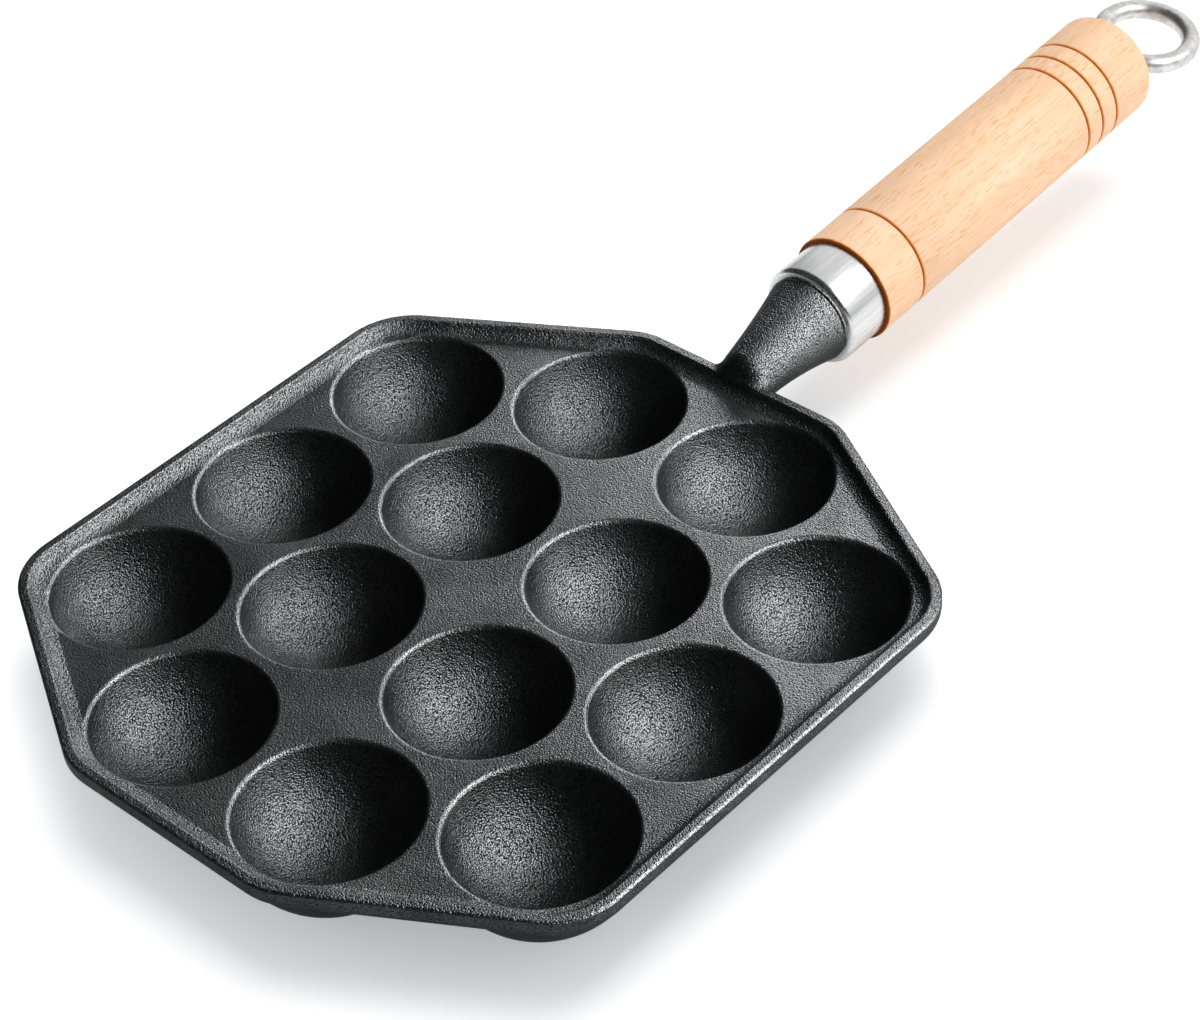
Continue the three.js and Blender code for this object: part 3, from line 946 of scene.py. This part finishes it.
ring_radius = 11.6
wire_radius = 2.45
ring_steps = 96
wire_sides = 24
ring_tilt = math.radians(-4.3)
ring_yaw = math.radians(5.3)
ring_roll = math.radians(7.7)
ring_weld = (washer_back + clearance + wire_radius) / 1000.0
ring_frame = (
    handle_frame @ Matrix.Translation((0.0, ring_weld, 0.0))
    @ Matrix.Rotation(-ring_yaw, 4, "Z")
    @ Matrix.Rotation(ring_tilt, 4, "X")
    @ Matrix.Rotation(ring_roll, 4, "Y")
    @ Matrix.Translation((0.0, ring_radius / 1000.0, 0.0))
)
ring_net = bmesh.new()
ring_rows = []
for step in range(ring_steps):
    angle = 2.0 * math.pi * step / ring_steps
    row = []
    for side in range(wire_sides):
        turn = 2.0 * math.pi * side / wire_sides
        reach = (ring_radius + wire_radius * math.cos(turn)) / 1000.0
        rise = wire_radius * math.sin(turn) / 1000.0
        spot = Vector((reach * math.cos(angle), reach * math.sin(angle), rise))
        row.append(ring_net.verts.new(ring_frame @ spot))
    ring_rows.append(row)
for step in range(ring_steps):
    for side in range(wire_sides):
        ring_net.faces.new((
            ring_rows[step - 1][side - 1], ring_rows[step][side - 1],
            ring_rows[step][side], ring_rows[step - 1][side],
        ))

# Weld bead between the rod's end and the ring, a lumpy collar: radius and place behind the rod
bead_sides = 48
bead_profile = [
    (0.0, 0.1), (3.3, 0.1), (4.3, 0.25), (4.5, 0.6), (4.0, 1.1), (3.1, 1.7), (2.2, 2.4), (0.0, 2.7),
]
bead_rows = []
for radius, behind in bead_profile:
    station = rod_sizes["back"] + behind
    row = []
    for side in range(bead_sides if radius else 1):
        angle = 2.0 * math.pi * side / bead_sides
        lump = 1.0 + 0.05 * math.sin(7.0 * angle) + 0.03 * math.sin(12.0 * angle + station)
        reach = radius * lump / 1000.0
        spot = Vector((reach * math.cos(angle), station / 1000.0, reach * math.sin(angle)))
        row.append(ring_net.verts.new(handle_frame @ spot))
    bead_rows.append(row)
for row, next_row in zip(bead_rows, bead_rows[1:]):
    for side in range(bead_sides):
        corners = [row[side % len(row)], row[side - 1 if len(row) > 1 else 0]]
        corners += [next_row[side - 1 if len(next_row) > 1 else 0], next_row[side % len(next_row)]]
        corners = [corner for at, corner in enumerate(corners) if corner is not corners[at - 1]]
        ring_net.faces.new(corners)
bmesh.ops.recalc_face_normals(ring_net, faces=ring_net.faces)
ring = start_piece("steel_ring")
ring_net.to_mesh(ring.data)
ring_net.free()
ring.data.shade_smooth()
ring.data.materials.append(bright_steel)
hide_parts("hanging_ring")
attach(ring, "eye_bolt")


# Studio. A white table and a white room, with a soft lamp overhead and a weaker one on the right.
# The other lamps only make the gloss on iron and steel: high on the right, low behind, low right.

table_reach = 3.0
table_gap = 0.0005
table_corners = [(-table_reach, -table_reach, 0.0), (table_reach, -table_reach, 0.0),
                 (table_reach, table_reach, 0.0), (-table_reach, table_reach, 0.0)]
table = start_piece("table")
table.data.from_pydata(table_corners, [], [(0, 1, 2, 3)])
table.location.z = -table_gap


def seen_directly(tree):
    """Two values: one for what the camera sees, also through a clear body, and one for gloss."""
    rays = tree.nodes.new("ShaderNodeLightPath")
    camera_ray, glossy_ray, clear_ray = (
        Field(tree, rays.outputs[name])
        for name in ("Is Camera Ray", "Is Glossy Ray", "Is Transmission Ray")
    )
    return larger(camera_ray, clear_ray), glossy_ray


table_paint = bpy.data.materials.new("white table")
table_paint.use_nodes = True
table_tree = table_paint.node_tree
table_tree.nodes.clear()
table_surface = table_tree.nodes.new("ShaderNodeBsdfDiffuse")
table_surface.inputs["Color"].default_value = (0.94, 0.945, 0.95, 1.0)
table_glow = table_tree.nodes.new("ShaderNodeEmission")
table_seen, table_mirrored = seen_directly(table_tree)
glow_seen = 0.35
glow_mirrored = 0.06
glow_level = larger(glow_seen * table_seen, glow_mirrored * table_mirrored)
table_tree.links.new(glow_level.socket, table_glow.inputs["Strength"])
table_sum = table_tree.nodes.new("ShaderNodeAddShader")
table_tree.links.new(table_surface.outputs[0], table_sum.inputs[0])
table_tree.links.new(table_glow.outputs[0], table_sum.inputs[1])
table_out = table_tree.nodes.new("ShaderNodeOutputMaterial")
table_tree.links.new(table_sum.outputs[0], table_out.inputs["Surface"])
table.data.materials.append(table_paint)

# The room is white where it is seen. Gloss shows it bright behind the pan and dark in front.
studio = bpy.data.worlds.new("studio")
bpy.context.scene.world = studio
studio.use_nodes = True
room = studio.node_tree
room.nodes.clear()
room_direction = room.nodes.new("ShaderNodeTexCoord").outputs["Generated"]
behind_pan = vector_math(room, "DOT_PRODUCT", room_direction, (0.2, 0.95, 0.1)).outputs["Value"]
height = axes_of(room, room_direction)[2]
horizon_level = 0.4
back_level = 0.88
front_level = 0.02
unseen_level = 0.61
above_horizon = between(height, 0.02, 0.14) * (1.0 - horizon_level) + horizon_level
bright_side = between(Field(room, behind_pan), 0.15, 0.50) * above_horizon
bright_side = bright_side * back_level + front_level
room_seen, room_mirrored = seen_directly(room)
room_level = chosen(room_mirrored, bright_side, chosen(room_seen, 1.0, unseen_level))
room_light = room.nodes.new("ShaderNodeBackground")
cool_white = (0.93, 0.97, 1.0)
plain_white = (1.0, 1.0, 1.0)
room_tone = mixed_colour(larger(room_seen, bright_side), cool_white, plain_white)
room.links.new(room_tone, room_light.inputs["Color"])
room.links.new(room_level.socket, room_light.inputs["Strength"])
room_out = room.nodes.new("ShaderNodeOutputWorld")
room.links.new(room_light.outputs[0], room_out.inputs["Surface"])


pan_middle = (0.0, -0.088, 0.015)
footprint_middle = (0.0, 0.0, 0.0)


def soft_lamp(name, place, width, length, power, target=pan_middle):
    """A rectangular lamp that faces its target, with its power in watts."""
    data = bpy.data.lights.new(name, "AREA")
    data.shape = "RECTANGLE"
    data.size = width
    data.size_y = length
    data.energy = power
    lamp = bpy.data.objects.new(name, data)
    lamp.location = place
    lamp.rotation_euler = (Vector(place) - Vector(target)).to_track_quat("Z", "Y").to_euler()
    bpy.context.scene.collection.objects.link(lamp)
    return lamp


side_lamp = soft_lamp("side lamp", (0.47, 0.14, 0.175), width=0.40, length=0.28, power=1.45)
top_lamp = soft_lamp(
    "top lamp", (0.0, 0.14, 0.93), width=0.66, length=0.66, power=4.95, target=footprint_middle,
)
for lamp in (side_lamp, top_lamp):
    lamp.visible_glossy = False
steel_lamp = soft_lamp("steel lamp", (0.36, 0.14, 0.37), width=0.48, length=0.28, power=1.5)
gloss_lamp = soft_lamp("gloss lamp", (0.36, 0.13, 0.35), width=0.48, length=0.28, power=12.0)
gloss_lamp.data.color = (0.94, 0.985, 1.0)
back_lamp = soft_lamp("back lamp", (-0.15, 0.35, 0.18), width=0.30, length=0.14, power=4.2)
low_lamp = soft_lamp("low lamp", (0.42, 0.05, 0.06), width=0.30, length=0.08, power=2.4)
for lamp in (steel_lamp, gloss_lamp, back_lamp, low_lamp):
    lamp.visible_diffuse = False
    lamp.visible_camera = False


def light_only(lamps, pieces):
    """Lets lamps reach some pieces and nothing else."""
    lit = bpy.data.collections.new("lit by the " + lamps[0].name)
    for piece in pieces:
        lit.objects.link(piece)
    for lamp in lamps:
        lamp.light_linking.receiver_collection = lit


light_only([gloss_lamp, back_lamp, low_lamp], [casting])
light_only([steel_lamp], [ferrule, tie_rod, washer, ring])
light_only([side_lamp], [casting, ferrule, grip, tie_rod, washer, ring])

bpy.context.scene.view_settings.view_transform = "Standard"
